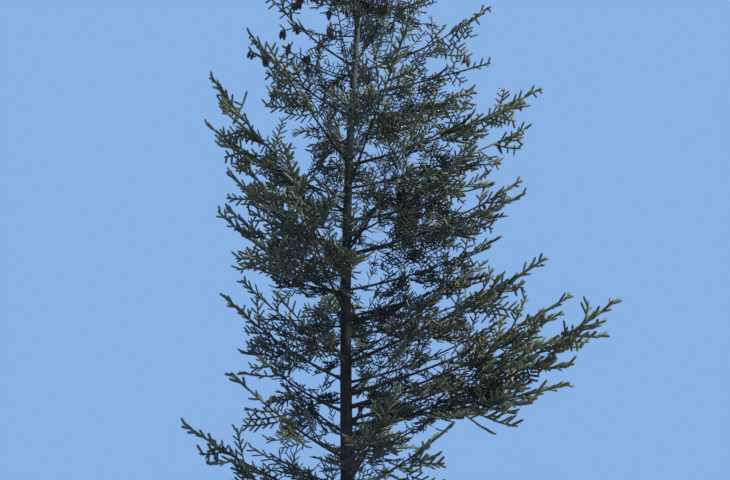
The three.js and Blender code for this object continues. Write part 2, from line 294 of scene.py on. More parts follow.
# Shorter boughs whose tips show at the two sides: pixels across and down to the tip, azimuth and slope
sideBoughs = [
    (285, 48, 165, 0.75), (296, 62, 205, 0.6), (530, 126, 15, 0.5), (474, 88, 40, 0.6),
    (478, 146, -30, 0.45), (500, 238, 20, 0.45), (522, 180, 5, 0.5), (486, 262, 35, 0.5),
    (440, 292, -40, 0.4), (562, 312, -5, 0.42), (506, 318, 30, 0.45), (570, 384, -8, 0.16),
    (414, 430, 20, 0.4), (249, 446, 195, 0.4), (232, 468, 170, 0.35), (241, 280, 195, 0.64),
    (270, 454, 215, 0.32), (258, 318, 165, 0.45), (206, 124, 178, 0.6), (226, 208, 170, 0.66),
    (226, 172, 195, 0.6), (244, 262, 160, 0.4), (520, 276, 15, 0.42), (560, 336, -12, 0.35),
]

# How the height and reach of such a bough are found: from a first guess, in rounds
tipSearch = {"reach": 1.5, "top": 4.0, "rounds": 60, "leastReach": 0.1}

# Gaps in the crown as the camera sees them: pixels across and down, half sizes, share of twigs left
crownGaps = [
    (377, 232, 15, 14, 0.3), (372, 250, 10, 12, 0.4), (330, 286, 8, 6, 0.5), (300, 172, 8, 7, 0.4),
    (276, 382, 26, 13, 0.55), (256, 395, 14, 12, 0.4), (312, 392, 10, 8, 0.4), (470, 186, 12, 10, 0.2),
    (466, 208, 14, 10, 0.5), (300, 30, 20, 24, 0.5), (326, 18, 10, 14, 0.4), (392, 30, 14, 16, 0.45),
    (290, 85, 10, 10, 0.4), (241, 86, 8, 12, 0.0), (258, 106, 11, 13, 0.15), (308, 112, 12, 10, 0.5),
    (490, 108, 12, 9, 0.4), (488, 150, 14, 10, 0.3), (448, 350, 14, 9, 0.3), (432, 372, 16, 9, 0.4),
    (388, 370, 12, 8, 0.5), (250, 248, 10, 10, 0.4), (446, 310, 9, 9, 0.3), (375, 278, 10, 5, 0.3),
    (344, 132, 10, 10, 0.6), (500, 352, 14, 9, 0.4), (470, 434, 46, 16, 0.1), (428, 386, 40, 18, 0.7),
    (390, 462, 12, 10, 0.5), (425, 412, 12, 8, 0.6), (462, 370, 22, 12, 0.55), (495, 406, 16, 8, 0.5),
    (236, 122, 10, 8, 0.4),
]

# Where no shorter bough grows but the listed ones: azimuth, half width, lowest and highest height
openings = [(-90, 25, 1.6, 4.2), (180, 40, 1.6, 7.2), (0, 40, 1.6, 7.2)]

# Side twigs: the frame's stations, with finer ones between them that lie flat on both sides
twigs = {"spacing": 0.25, "finer": 3, "flatTurn": -16, "firstStation": 0.45, "least": 4, "firstRow": 90,
         "rowTurn": 120, "turnSpread": 25, "innerAngle": 60, "outerAngle": 42, "angleSpread": 9,
         "rollSpread": 30, "droop": 0.2, "hang": 0.3, "hangFrom": 4.5, "hangGrowth": 2, "innerLength": 0.85,
         "outerLength": 1.2, "lengthSpread": 0.1, "tipTaper": 0.64, "stationShare": 0.9,
         "betweenShare": 0.75, "betweenLeast": 0.6, "aboveShortening": 0.52, "openFrom": 7, "openTo": 9,
         "youngest": 0.08, "singleReach": 0.35, "perMetre": 0.85, "shortest": 0.2}

# Laterals on a twig, and the needle-clad shoots in which they end. Pairs are for the inside and the tips
# of the crown.
shoots = {"spacing": (0.029, 0.048), "first": 0.14, "last": 0.93, "countTo": 0.95, "shareSpread": 0.3,
          "innerLength": 0.42, "outerLength": 0.15, "least": 0.06, "longest": (0.115, 0.18),
          "shortest": (0.062, 0.1), "lengthSpread": 0.06, "longestLateral": 0.42, "singleReach": 0.32,
          "perMetre": 0.6, "innerAngle": 64, "outerAngle": 42, "angleSpread": 12, "ownAngleSpread": 7,
          "scatter": 26, "piece": 0.12, "overlap": 1.1, "cladLength": (0.16, 0.62), "upturn": 0.14,
          "lift": 0.06, "trunkGap": 0.03, "leastHeight": 0.06, "lastOrder": 6,
          "openFrom": 5.6, "openTo": 7.4, "openAngle": 20, "openDroop": 0.24}

# Single shoots along a limb; those that hang point a little forward and sideways
limbShoots = {"spacing": 0.046, "first": 0.4, "last": 0.99, "clad": 1.5, "roll": 50, "least": 0.3,
              "endLength": 0.08, "perMetre": 0.35, "tipReach": 0.75, "everyInner": 3, "hangEvery": 2,
              "hangReach": 0.55, "hangForward": 0.35, "hangSide": 0.2, "hangLength": 1.3}

# Radii of a twig: at its foot, and what is left at its end and on its laterals
twigGirth = {"least": 0.0035, "perLength": 0.003, "endShare": 0.4, "lateralShare": 0.5}


def curvePoint(curve, t):
    start, bend, end = curve
    return start * (1 - t) ** 2 + bend * (2 * t * (1 - t)) + end * t ** 2


def curveTangent(curve, t):
    start, bend, end = curve
    return ((bend - start) * (2 * (1 - t)) + (end - bend) * (2 * t)).normalized()


def curveLength(curve, first=0.0, last=1.0, steps=12):
    points = [curvePoint(curve, lerp(first, last, i / steps)) for i in range(steps + 1)]
    return sum((b - a).length for a, b in zip(points, points[1:]))


# The level direction across a line
def acrossOf(tangent):
    across = tangent.cross(up)
    return Vector((1, 0, 0)) if across.length_squared < 0.01 else across.normalized()


# A line's direction turned towards its side by so many degrees
def leanOut(line, side, degrees):
    angle = math.radians(degrees)
    return line * math.cos(angle) + side * math.sin(angle)


def boughCurve(seed, height, azimuth, reach, rise):
    base = trunkAxis(height)
    angle = math.radians(azimuth)
    outward = Vector((math.cos(angle), math.sin(angle), 0))
    sideways = Vector((-math.sin(angle), math.cos(angle), 0))
    bend = base + outward * reach * boughs["bendAt"]
    bend += sideways * reach * boughs["sidewaysSway"] * spreadOf(seed, 1, 1)
    bend.z += rise * boughs["bendRise"]
    tip = base + outward * reach
    tip.z += rise
    return base, bend, tip


# The angle between two azimuths, 0 to 180 degrees
def turnBetween(first, second):
    return abs((first - second + 180) % 360 - 180)


# How far the crown reaches at a height and an azimuth, from the main boughs around it
def crownReach(height, azimuth):
    total, weights = 0.0, 0.0
    for z, other, reach, _, _ in mainBoughs:
        near = crown["above"] if height > z else crown["below"]
        weight = math.exp(-(turnBetween(azimuth, other) / crown["turn"]) ** 2 - ((height - z) / near) ** 2)
        total += weight * reach
        weights += weight
    upper = max(0, trunk["treeHeight"] - height) * boughs["upperReachShare"] + boughs["upperLeastReach"]
    side = total / weights if weights > 1e-6 else upper
    return lerp(side, upper * crown["upperSwell"], smoothStep(crown["upperFrom"], crown["upperTo"], height))


# Every limb, with the name of the mass that grows on it, if the frame has one
def makeLimbs():
    limbs = []
    for index, (height, azimuth, reach, rise, spread) in enumerate(mainBoughs):
        number = index + 1
        limbs.append({"kind": "main", "seed": number, "reach": reach, "spread": spread, "height": height,
                      "first": boughs["woodShare"], "node": f"foliage_{number:02d}",
                      "curve": boughCurve(number, height, azimuth, reach, rise)})
    for i in range(boughs["upperCount"]):
        height = lerp(boughs["upperLowest"], boughs["upperHighest"], i / (boughs["upperCount"] - 1))
        reach = (trunk["treeHeight"] - height) * boughs["upperReachShare"] + boughs["upperLeastReach"]
        azimuth = boughs["upperFirstAzimuth"] + boughs["goldenAngle"] * i
        number = len(mainBoughs) + i + 1
        spread = reach * boughs["upperSpreadShare"] + boughs["upperLeastSpread"]
        limbs.append({"kind": "upper", "seed": number, "reach": reach, "spread": spread, "height": height,
                      "first": 0, "node": f"foliage_{number}",
                      "curve": boughCurve(number, height, azimuth, reach, reach * boughs["upperRise"])})
    foot = trunkAxis(trunk["top"])
    tip = Vector((foot.x, foot.y, trunk["treeHeight"]))
    limbs.append({"kind": "top", "seed": boughs["topSeed"], "reach": tip.z - foot.z, "height": trunk["top"],
                  "spread": boughs["topSpread"], "first": 0, "node": "foliage_top",
                  "curve": (foot, (foot + tip) / 2, tip)})
    return limbs + makeFillLimbs()


# Height, reach and rise of a bough whose tip shows at this place in the picture
def boughFromTip(across, down, azimuth, slope):
    pitch, angle = math.radians(view["pitch"]), math.radians(azimuth)
    side, front, eye = view["place"]
    reach, top = tipSearch["reach"], tipSearch["top"]
    for _ in range(tipSearch["rounds"]):
        away = reach * math.sin(angle) - front
        depth = away * math.cos(pitch) + (top - eye) * math.sin(pitch)
        right = side + (across - view["imageWidth"] / 2) * depth / view["focalPixels"]
        right -= trunkAxis(top - slope * reach).x
        reach = max(tipSearch["leastReach"], right / math.cos(angle))
        raised = (view["imageHeight"] / 2 - down) * depth / view["focalPixels"]
        top = eye + (raised + away * math.sin(pitch)) / math.cos(pitch)
    return top - slope * reach, reach, slope * reach


def fillLimb(seed, height, azimuth, reach, rise):
    return {"kind": "fill", "seed": seed, "reach": reach, "height": height, "node": None,
            "spread": fillBoughs["spread"] + fillBoughs["spreadPerReach"] * reach,
            "first": fillBoughs["bareShare"], "curve": boughCurve(seed, height, azimuth, reach, rise)}


def makeFillLimbs():
    limbs = []
    for i, (across, down, azimuth, slope) in enumerate(sideBoughs):
        height, reach, rise = boughFromTip(across, down, azimuth, slope)
        limbs.append(fillLimb(fillBoughs["sideSeed"] + i, height, azimuth, reach, rise))
    for i in range(fillBoughs["count"]):
        share = i / (fillBoughs["count"] - 1)
        seed = fillBoughs["firstSeed"] + i
        height = lerp(fillBoughs["lowest"], fillBoughs["highest"], share)
        height += fillBoughs["heightSpread"] * spreadOf(seed, 2, 3)
        azimuth = fillBoughs["firstAzimuth"] + boughs["goldenAngle"] * i
        if any(turnBetween(azimuth, middle) < half and low < height < high
               for middle, half, low, high in openings):
            continue
        sideways = abs(math.cos(math.radians(azimuth))) > fillBoughs["thinSideways"]
        if fillBoughs["thinFrom"] < height < fillBoughs["thinTo"] and i % 3 and sideways:
            continue
        reach = crownReach(height, azimuth) * fillBoughs["shortShare" if i % 3 == 1 else "reachShare"]
        reach *= 1 + fillBoughs["reachSpread"] * spreadOf(seed, 4, 5)
        slope = fillBoughs["rise"] + fillBoughs["riseSpread"] * spreadOf(seed, 6, 7)
        rise = reach * (slope + fillBoughs["riseWithHeight"] * share)
        limbs.append(fillLimb(seed, height, azimuth, reach, rise))
    return limbs


# Whether a twig is left out because it would close one of the gaps
def inCrownGap(point, key):
    pitch = math.radians(view["pitch"])
    away = point - Vector(view["place"])
    depth = away.y * math.cos(pitch) + away.z * math.sin(pitch)
    raised = away.z * math.cos(pitch) - away.y * math.sin(pitch)
    across = view["imageWidth"] / 2 + view["focalPixels"] * away.x / depth
    down = view["imageHeight"] / 2 - view["focalPixels"] * raised / depth
    for middle, height, halfWidth, halfHeight, left in crownGaps:
        if ((across - middle) / halfWidth) ** 2 + ((down - height) / halfHeight) ** 2 < 1:
            return chance(key, 51, 3) > left
    return False


def clearOfTrunk(point):
    if point.z < shoots["leastHeight"]:
        return False
    axis = trunkAxis(point.z)
    gap = math.hypot(point.x - axis.x, point.y - axis.y)
    return point.z > trunk["top"] or gap > trunkRadius(point.z) + shoots["trunkGap"]


# Shoots high in the crown stand out more widely and hang a little: 0 low down, 1 high up
def openness(height):
    return smoothStep(shoots["openFrom"], shoots["openTo"], height)


# A needle-clad shoot: start, direction, length, key, whether it ends there, and its spray
def addShoot(growth, start, direction, length, key, isTip, spray):
    growth["shoots"].append((start, direction, length, key, isTip, spray))


# A twig and all that grows on it
def growTwig(growth, start, direction, face, length, radius, order, key, spray):
    length = max(length, shoots["least"])
    bend = up * (shoots["upturn"] * length)

    def at(t):
        return start + direction * (length * t) + bend * (t * t)

    places = [at(t) for t in (0, 0.25, 0.5, 0.75, 1)]
    if not (clearOfTrunk(places[2]) and clearOfTrunk(places[4])) or inCrownGap(places[3], key):
        return

    def along(t):
        return (direction * length + bend * (2 * t)).normalized()

    outward = outwardShare(places[2])
    if length <= lerp(*shoots["longest"], outward) or order == shoots["lastOrder"]:
        addShoot(growth, start, along(0.5), length, key, True, spray)
        return
    bare = max(0, length - lerp(*shoots["cladLength"], outward)) / length
    pieces = max(1, round(length * (1 - bare) / shoots["piece"]))
    for i in range(pieces):
        a, b = at(lerp(bare, 1, i / pieces)), at(lerp(bare, 1, (i + 1) / pieces))
        ownLength = (b - a).length * shoots["overlap"]
        addShoot(growth, a, (b - a).normalized(), ownLength, key * 31 + i, i == pieces - 1, spray)
    growth["wood"].append((places, radius, radius * twigGirth["endShare"]))
    if order == 2:
        growth["ends"].append((places, key))
    side = direction.cross(face).normalized()
    openHere = openness(start.z)
    lift = shoots["lift"] - shoots["openDroop"] * openHere
    spacing = lerp(*shoots["spacing"], outward)
    count = max(2, round(length * (shoots["countTo"] - shoots["first"]) / spacing))
    for i in range(count):
        place = (i + 0.5 + shoots["shareSpread"] * spreadOf(key, i, 1)) / count
        share = lerp(shoots["first"], shoots["last"], place)
        angle = lerp(shoots["innerAngle"], shoots["outerAngle"], share)
        angle += shoots["ownAngleSpread"] * spreadOf(key, i, 2)
        angle += shoots["angleSpread"] * spreadOf(spray, 7, 7) + shoots["openAngle"] * openHere
        heading = along(share)
        out = side * (1 if (i + order) % 2 else -1)
        out.rotate(Quaternion(heading, math.radians(shoots["scatter"] * spreadOf(key, i, 3))))
        way = (leanOut(heading, out, angle) + up * lift).normalized()
        reach = length * lerp(shoots["innerLength"], shoots["outerLength"], share)
        single = lerp(*shoots["shortest"], outward) + shoots["lengthSpread"] * chance(key, i, 5)
        grown = single + shoots["perMetre"] * max(0, length * (1 - share) - shoots["singleReach"])
        reach = min(max(reach, single), grown, shoots["longestLateral"])
        nextKey, nextRadius = key * 7 + i * 3 + 1, radius * twigGirth["lateralShare"]
        growTwig(growth, at(share), way, face, reach, nextRadius, order + 1, nextKey, spray)


# The side twigs of a limb, by the rule of the frame's masses
def growSides(growth, limb):
    curve, seed, first = limb["curve"], limb["seed"], limb["first"]
    last = boughs["topStemReach"] if limb["kind"] == "top" else boughs["stemReach"]
    count = max(twigs["least"], round(curveLength(curve, first, last) / twigs["spacing"]))
    for fine in range(count * twigs["finer"]):
        station, between = divmod(fine, twigs["finer"])
        offset = (between + 1) // 2 * (1 if between % 2 else -1) / twigs["finer"]
        share = (station + twigs["firstStation"] + offset) / count
        t = lerp(first, last, share)
        place, along = curvePoint(curve, t), curveTangent(curve, t)
        if between > 1 and twigs["openFrom"] < place.z < twigs["openTo"]:
            continue
        side = acrossOf(along)
        mark = station + 50 * between
        row = twigs["firstRow"] + twigs["rowTurn"] * station
        if between:
            row = twigs["flatTurn"] if (station + between) % 2 else 180 - twigs["flatTurn"]
        row += twigs["turnSpread"] * spreadOf(seed, mark, 1)
        outward = leanOut(side, side.cross(along), row)
        angle = lerp(twigs["innerAngle"], twigs["outerAngle"], share)
        angle += twigs["angleSpread"] * spreadOf(seed, mark, 2)
        hang = twigs["hang"] * max(0, -outward.z)
        hang *= smoothStep(0, twigs["hangGrowth"], place.z - twigs["hangFrom"])
        direction = leanOut(along, outward, angle) - up * (twigs["droop"] + hang)
        direction.normalize()
        face = along.cross(outward).cross(direction).cross(direction).normalized()
        face.rotate(Quaternion(direction, math.radians(twigs["rollSpread"] * spreadOf(seed, mark, 4))))
        length = limb["spread"] * lerp(twigs["innerLength"], twigs["outerLength"], share)
        length *= 1 - twigs["tipTaper"] * share ** 2
        length *= 1 + twigs["lengthSpread"] * spreadOf(seed, mark, 5)
        finer = twigs["betweenShare"] * lerp(twigs["betweenLeast"], 1, chance(seed, mark, 6))
        length *= finer if between else twigs["stationShare"]
        length *= 1 - twigs["aboveShortening"] * max(0, outward.z)
        fromTip = curveLength(curve, t, 1, 3)
        length = min(length, twigs["youngest"] + twigs["perMetre"] * max(0, fromTip - twigs["singleReach"]))
        if length < twigs["shortest"]:
            continue
        radius = twigGirth["least"] + twigGirth["perLength"] * length
        key = seed * 1000 + mark
        growTwig(growth, place, direction, face, length, radius, 2, key, key)


# The limb's own needle-clad end, and single shoots that stand along it on both sides
def growAlong(growth, limb):
    curve, seed = limb["curve"], limb["seed"]
    whole = curveLength(curve)
    first = max(limbShoots["first"], 1 - limbShoots["clad"] / whole)
    pieces = max(2, round(whole * (1 - first) / shoots["piece"]))
    for i in range(pieces):
        a = curvePoint(curve, lerp(first, 1, i / pieces))
        b = curvePoint(curve, lerp(first, 1, (i + 1) / pieces))
        last = i == pieces - 1
        length = (b - a).length * (1 if last else shoots["overlap"])
        addShoot(growth, a, (b - a).normalized(), length, seed * 77 + i, last, seed)
    count = max(4, round(whole * (1 - first) / limbShoots["spacing"]))
    for i in range(count):
        share = (i + 0.5 + shoots["shareSpread"] * spreadOf(seed, i, 23)) / count
        t = lerp(first, limbShoots["last"], share)
        start, along = curvePoint(curve, t), curveTangent(curve, t)
        side = acrossOf(along) * (1 if i % 2 else -1)
        side.rotate(Quaternion(along, math.radians(limbShoots["roll"] * spreadOf(seed, i, 21))))
        openHere = openness(start.z)
        angle = lerp(shoots["innerAngle"], shoots["outerAngle"], share) + shoots["openAngle"] * openHere
        lift = shoots["lift"] - shoots["openDroop"] * openHere
        way = leanOut(along, side, angle) + up * lift
        length = lerp(*shoots["shortest"], t)
        length += shoots["lengthSpread"] * (limbShoots["least"] + chance(seed, i, 22))
        fromTip = whole * (1 - t)
        length = min(length, limbShoots["endLength"] + limbShoots["perMetre"] * fromTip)
        if fromTip > limbShoots["tipReach"] and i % limbShoots["everyInner"]:
            continue
        if fromTip > limbShoots["hangReach"] and start.z > twigs["hangFrom"]:
            if i // limbShoots["everyInner"] % limbShoots["hangEvery"] == 0:
                way = along * limbShoots["hangForward"] - up + side * limbShoots["hangSide"]
                length *= limbShoots["hangLength"]
        if not inCrownGap(start, seed * 91 + i):
            addShoot(growth, start, way.normalized(), length, seed * 91 + i, True, seed * 13 + i // 5)


# Needles: slim blades on a tapering core of needle bases. Real ones are 15 to 20 mm by 1.2 mm and
# about 200 to a shoot; here there are 13 to 34 to a shoot, wider than life.
needles = {"length": 0.02, "width": 0.0066, "perMetre": 205, "coreRadius": 0.0138, "coreSides": 3,
           "coreTip": 0.4, "coreShoulder": 0.84, "lean": 52, "tipLean": 30, "leanSpread": 9,
           "lengthSpread": 0.15, "tipLength": 0.6, "baseLength": 0.75, "rootDepth": 0.6, "lastRoot": 0.97,
           "sizes": (0.065, 0.095, 0.125, 0.165), "variants": 3, "curl": 0.09, "lateralCurl": 0.3,
           "youngShare": 0.5, "seedTurn": 20, "innerGirth": 0.48, "outerGirth": 1.1, "girthSpread": 0.1,
           "mostTriangles": 165000}

# Tones from the painted shade of the crown's inside to the painted light on its tips, lit and shaded copies
# of one needle green, and how they are dealt out
# painted light and shade: shaded, inner, middle, greyGreen and lit are one needle green running from painted
# shade to painted sunlight, and the warm ones are the same for olive sprays; the young-tip tone is the young
# needles of the most lit shoots, lighter both because they are young and as painted sunlight
needleTones = {"shaded": "#203036", "inner": "#2e3b39", "middle": "#3d4a3c", "greyGreen": "#4a5645",
               "lit": "#576147", "litYoungTip": "#6c714e", "warmShade": "#272d26", "warmInner": "#353c2f",
               "warmMiddle": "#494f39"}
toneRows = ((0, 1, 2, 3, 4, 5), (6, 7, 8, 8, 4, 5))
toneRule = {"warmShare": 0.38, "least": 0.5, "outward": 2.2, "upward": 0.7, "high": 0.7, "highFrom": 3.5,
            "highTo": 7, "spraySpread": 1.1, "shootSpread": 0.8, "tip": 0.5, "behindTip": -0.4,
            "paintedSunSide": 0.3}


# Spruce needles: waxy and stiff, grown in all directions, so they give only a broken, dull gloss
def needleMaterial(name, colour):
    material, tree, shader, place = newMaterial(name, 0.6)
    shader.inputs["Base Color"].default_value = linear(colour)
    dull = mapValue(tree, noiseValue(tree, place, 90, 2), {"To Min": 0.48, "To Max": 0.7})
    tree.links.new(dull, shader.inputs["Roughness"])
    return material


# One shoot along +Z as arrays: material 0 is its core, 1 its older needles and 2 the young ones
def shootTemplate(length, seed):
    bm = bmesh.new()
    radius = needles["coreRadius"]
    made = bmesh.ops.create_cone(bm, segments=needles["coreSides"], radius1=radius,
                                 radius2=radius * needles["coreTip"], depth=length)
    bmesh.ops.translate(bm, verts=made["verts"], vec=(0, 0, length / 2))
    bmesh.ops.rotate(bm, verts=made["verts"], cent=(0, 0, 0), matrix=Quaternion(up, seed).to_matrix())
    cutUpright(bm, length / 2, 1)
    for vert in bm.verts:
        if 0.25 * length < vert.co.z < 0.75 * length:
            vert.co.z = needles["coreShoulder"] * length
            vert.co.xy = vert.co.xy.normalized() * radius
    count = round(needles["perMetre"] * length)
    for i in range(count):
        share = (i + 0.5) / count
        around = math.radians(boughs["goldenAngle"] * i + needles["seedTurn"] * seed)
        outward = Vector((math.cos(around), math.sin(around), 0))
        lean = lerp(needles["lean"], needles["tipLean"], share ** 3)
        lean += needles["leanSpread"] * spreadOf(seed, i, 1)
        way = leanOut(up, outward, lean)
        across = way.cross(outward.cross(up))
        across.rotate(Quaternion(way, math.pi * chance(seed, i, 2)))
        size = needles["length"] * (1 + needles["lengthSpread"] * spreadOf(seed, i, 3))
        size *= lerp(1, needles["tipLength"], share ** 4)
        size *= lerp(needles["baseLength"], 1, min(1, 2 * share))
        root = outward * radius * needles["rootDepth"] + up * (length * share * needles["lastRoot"])
        half = across.normalized() * needles["width"] / 2
        corners = [bm.verts.new(root - half), bm.verts.new(root + half), bm.verts.new(root + way * size)]
        bm.faces.new(corners).material_index = 1 if share < needles["youngShare"] else 2
    return arraysOf(bm)


# How far out in the crown a point is: 0 near the trunk, 1 at the tips of the boughs
def outwardShare(point):
    axis = trunkAxis(point.z)
    away = Vector((point.x - axis.x, point.y - axis.y))
    azimuth = math.degrees(math.atan2(away.y, away.x))
    reach = max(crown["leastReach"], crownReach(point.z - crown["riseShare"] * away.length, azimuth))
    return smoothStep(crown["innerShare"], 1, away.length / reach)


# Which tone a shoot has, in painted light and shade: darker deep in the crown and low on it as painted shade,
# lighter further out, pointing up, high up and on the side towards the key sun as painted light; shoot ends
# are lighter, and sprays and shoots differ at random
def toneOf(shoot, outward):
    start, direction, _, key, isTip, spray = shoot
    # painted light and shade: lighter further out in the crown and on shoots that point up, darker deep
    # inside
    light = toneRule["least"] + toneRule["outward"] * outward + toneRule["upward"] * direction.z
    # painted light: lighter high in the crown, where more light reaches
    light += toneRule["high"] * smoothStep(toneRule["highFrom"], toneRule["highTo"], start.z)
    own = toneRule["spraySpread"] * spreadOf(spray, 3, 8)
    own += toneRule["shootSpread"] * spreadOf(key, 5, 1)
    light += own + toneRule["tip" if isTip else "behindTip"]
    # painted sunlight: shoots on the +X side, towards the key sun, are dealt a lighter tone
    light += toneRule["paintedSunSide"] if start.x > trunkAxis(start.z).x else 0
    return min(len(toneRows[0]) - 1, max(0, round(light)))


# All shoots of one size and variant, as arrays
def placeShoots(template, rows, base):
    corners, triangles, parts = template
    keys = ("start", "frame", "curl", "tone", "warm")
    start, axes, curl, tone, warm = [np.array([row[key] for row in rows]) for key in keys]
    placed = start[:, None, :] + np.einsum("ki,nij->nkj", corners, axes)
    placed[:, :, 2] += needles["curl"] * (corners[:, 2] ** 2)[None, :] * curl[:, None]
    offsets = base + np.arange(len(rows))[:, None, None] * len(corners)
    faces = triangles[None, :, :] + offsets
    steps = np.clip(tone[:, None] + parts[None, :] - 1, 0, len(toneRows[0]) - 1)
    tones = np.array(toneRows)[warm[:, None], steps]
    return placed.reshape(-1, 3), faces.reshape(-1, 3), tones.reshape(-1)


# Where a shoot stands: its start, and its axes scaled to its size
def shootRow(shoot, templateLength):
    start, direction, length, key, isTip, spray = shoot
    side = acrossOf(direction)
    side.rotate(Quaternion(direction, 2 * math.pi * chance(key, 8, 2)))
    over = direction.cross(side)
    outward = outwardShare(start)
    girth = lerp(needles["innerGirth"], needles["outerGirth"], outward)
    girth += needles["girthSpread"] * spreadOf(key, 9, 4)
    stretch = length / templateLength
    axes = (side * girth, over * girth, direction * stretch)
    curl = max(0, 1 - abs(direction.z)) / templateLength * (1 if isTip else needles["lateralCurl"])
    warm = int(chance(spray, 17, 5) < toneRule["warmShare"])
    return {"start": start[:], "frame": [axis[:] for axis in axes], "curl": curl, "warm": warm,
            "tone": toneOf(shoot, outward)}


# The template that is nearest in length
def sizeOf(length):
    return min(range(len(needles["sizes"])), key=lambda i: abs(needles["sizes"][i] - length))


def makeNeedles(name, ownShoots, nodes, templates, materials):
    groups = {}
    for shoot in ownShoots:
        size = sizeOf(shoot[2])
        variant = int(chance(shoot[3], 2, 9) * needles["variants"])
        row = shootRow(shoot, needles["sizes"][size])
        groups.setdefault((size, variant), []).append(row)
    corners, triangles, tones, base = [], [], [], 0
    for key in sorted(groups):
        placed, faces, own = placeShoots(templates[key], groups[key], base)
        corners.append(placed)
        triangles.append(faces)
        tones.append(own)
        base += len(placed)
    parts = [np.concatenate(each) for each in (corners, triangles, tones)]
    piece = joinMesh(name, *parts, materials)
    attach(piece, "root")
    if nodes:
        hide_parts(*nodes)
    print(name, len(ownShoots), "shoots", len(piece.data.polygons), "triangles")


# Rough bark in plates: grey with a little lichen, painted much darker than its own colour as painted shade
# for the deep shade the trunk stands in, with near-black painted shade in the furrows, and paler from 4.6 to
# 7.4 m up
def trunkBarkMaterial():
    material, tree, shader, place = newMaterial("spruceBark", 0.92)
    stretch = addNode(tree, "ShaderNodeMapping", {"Vector": place, "Scale": (1, 1, 0.6)}).outputs["Vector"]
    furrow = mapValue(tree, cellEdge(tree, stretch, 38), {"From Max": 0.12})
    grain = noiseValue(tree, stretch, 60, 6)
    patch = mapValue(tree, noiseValue(tree, place, 9, 4), {"From Min": 0.55, "From Max": 0.7})
    height = addNode(tree, "ShaderNodeSeparateXYZ", {"Vector": place}).outputs["Z"]
    # the bark turns paler from 4.6 to 7.4 m up
    paleUpward = mapValue(tree, height, {"From Min": 4.6, "From Max": 7.4, "To Max": 0.85})
    # painted shade: the bark's grey is painted near-black, for the deep shade the trunk stands in
    grey = mixColours(tree, grain, "#14171a", "#272a2d")
    mossy = mixColours(tree, patch, grey, "#2a2f2f")
    pale = mixColours(tree, paleUpward, mossy, "#414b51")
    # painted shade: the furrows between the plates are painted near-black, for the shade in them
    paintedFurrowShade = mixColours(tree, furrow, "#100f0f", pale)
    tree.links.new(paintedFurrowShade, shader.inputs["Base Color"])
    addBump(tree, shader, grain, 0.6, 0.004)
    return material


# Younger bark of the boughs: thin scales, dark grey with brown spots where they have come off
def boughBarkMaterial():
    material, tree, shader, place = newMaterial("boughBark", 0.88)
    scales = noiseValue(tree, place, 55, 4)
    fresh = mapValue(tree, noiseValue(tree, place, 16, 3), {"From Min": 0.53, "From Max": 0.62})
    grey = mixColours(tree, scales, "#17181a", "#262729")
    spotted = mixColours(tree, fresh, grey, "#33291f")
    tree.links.new(spotted, shader.inputs["Base Color"])
    addBump(tree, shader, scales, 0.5, 0.003)
    return material


def makeTrunk(limbs):
    bm = unitTube(trunk["sides"], trunk["rings"] - 1, False)
    collars = sorted((limb["height"], limb["curve"]) for limb in limbs if limb["kind"] == "main")
    for vert in bm.verts:
        height = trunk["top"] * (vert.co.z + 0.5)
        angle = math.atan2(vert.co.y, vert.co.x)
        outward = Vector((math.cos(angle), math.sin(angle), 0))
        lobes = 1 + trunk["flareLobeDepth"] * math.cos(trunk["flareLobes"] * angle)
        radius = trunkRadius(height) + trunk["flareRadius"] * math.exp(-height / trunk["flareHeight"]) * lobes
        swelling = 0
        for place, curve in collars:
            if abs(place - height) < trunk["collarSpan"] * trunk["collarReach"]:
                facing = max(0, outward.dot((curve[2] - curve[0]).normalized()))
                swelling += facing ** 2 * math.exp(-((height - place) / trunk["collarReach"]) ** 2)
        relief = plateRelief(angle, height, radius) * min(1, radius / trunk["fullReliefRadius"])
        radius += trunk["collar"] * swelling + relief
        vert.co = trunkAxis(height) + outward * radius
    piece = finishMesh("trunkWithBark", bm, [trunkBarkMaterial()])
    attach(piece, "root")
    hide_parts("trunk")
    print("trunk", len(piece.data.polygons), "faces")


# Limb wood: as thick as the frame's boughs at the trunk, drawn out to the tip of the limb
limbWood = {"sides": 8, "rings": 44, "base": 0.012, "perReach": 0.0045, "midRadius": 0.0155, "tip": 0.0035,
            "middleShare": 0.8, "middleAt": 0.25, "collar": 0.008, "collarAt": 0.05, "collarReach": 0.05,
            "knob": 0.0016, "slimSides": 6, "slimRings": 16, "slimShare": 0.78, "slimMost": 0.55,
            "slimCollar": 0.3}

# Twig wood: three-sided, two lengths to a twig
twigWood = {"sides": 3, "rings": 3}


# A unit tube along +Z as arrays, to be drawn along a line
def tubeTemplate(sides, rings):
    bm = unitTube(sides, rings - 2)
    bmesh.ops.translate(bm, verts=bm.verts, vec=(0, 0, 0.5))
    return arraysOf(bm)


# Draws a tube along a line of points, with a radius at each
def drawTube(template, points, radii, tangents):
    corners, triangles, _ = template
    rings = np.rint(corners[:, 2] * (len(points) - 1)).astype(int)
    side = np.array([acrossOf(tangent)[:] for tangent in tangents])
    over = np.cross(side, np.array([tangent[:] for tangent in tangents]))
    middle = np.array([point[:] for point in points])
    reach = np.asarray(radii)[rings][:, None]
    placed = middle[rings] + (side[rings] * corners[:, :1] + over[rings] * corners[:, 1:2]) * reach
    return placed, triangles


def joinTubes(name, tubes, material):
    corners, triangles, base = [], [], 0
    for placed, faces in tubes:
        corners.append(placed)
        triangles.append(faces + base)
        base += len(placed)
    faces = np.concatenate(triangles)
    return joinMesh(name, np.concatenate(corners), faces, np.zeros(len(faces)), [material])


